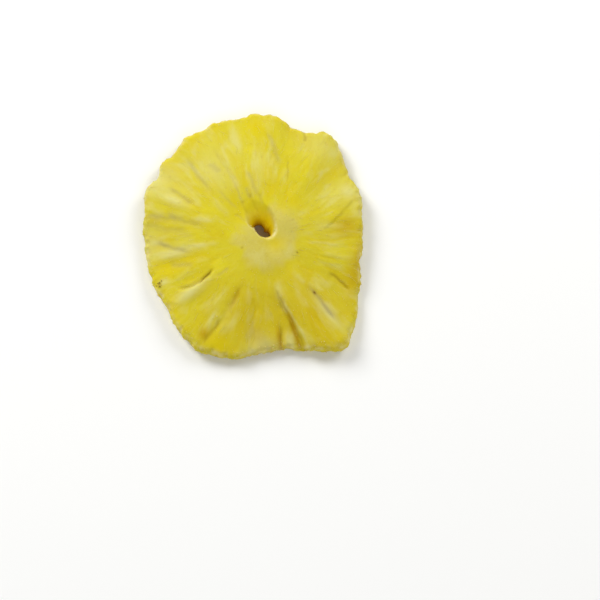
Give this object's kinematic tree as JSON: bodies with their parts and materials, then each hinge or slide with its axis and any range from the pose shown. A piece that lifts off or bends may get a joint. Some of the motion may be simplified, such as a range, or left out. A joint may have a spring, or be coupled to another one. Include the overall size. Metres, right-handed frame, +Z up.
{
  "type": "dried pineapple ring",
  "caption": "Cored slice of soft-dried pineapple: a domed, lobed ring with radial creases, a raised core and an off-centre hole that widens upwards.",
  "frame": {"origin": "on the surface that the ring lies on, under the middle of the ring's box", "axes": "+Z up through the slice, from the side it lies on to the side shown; +Y along the ring's longer plan direction, away from the camera; +X to the right in the picture"},
  "size_m": [0.0672, 0.0778, 0.0102],
  "materials": {
    "flesh": "translucent yellow fruit flesh, slightly moist, with pale fibres that fan out from the core"
  },
  "bodies": {
    "root": {"pineapple_ring": "flesh"}
  },
  "joints": []
}
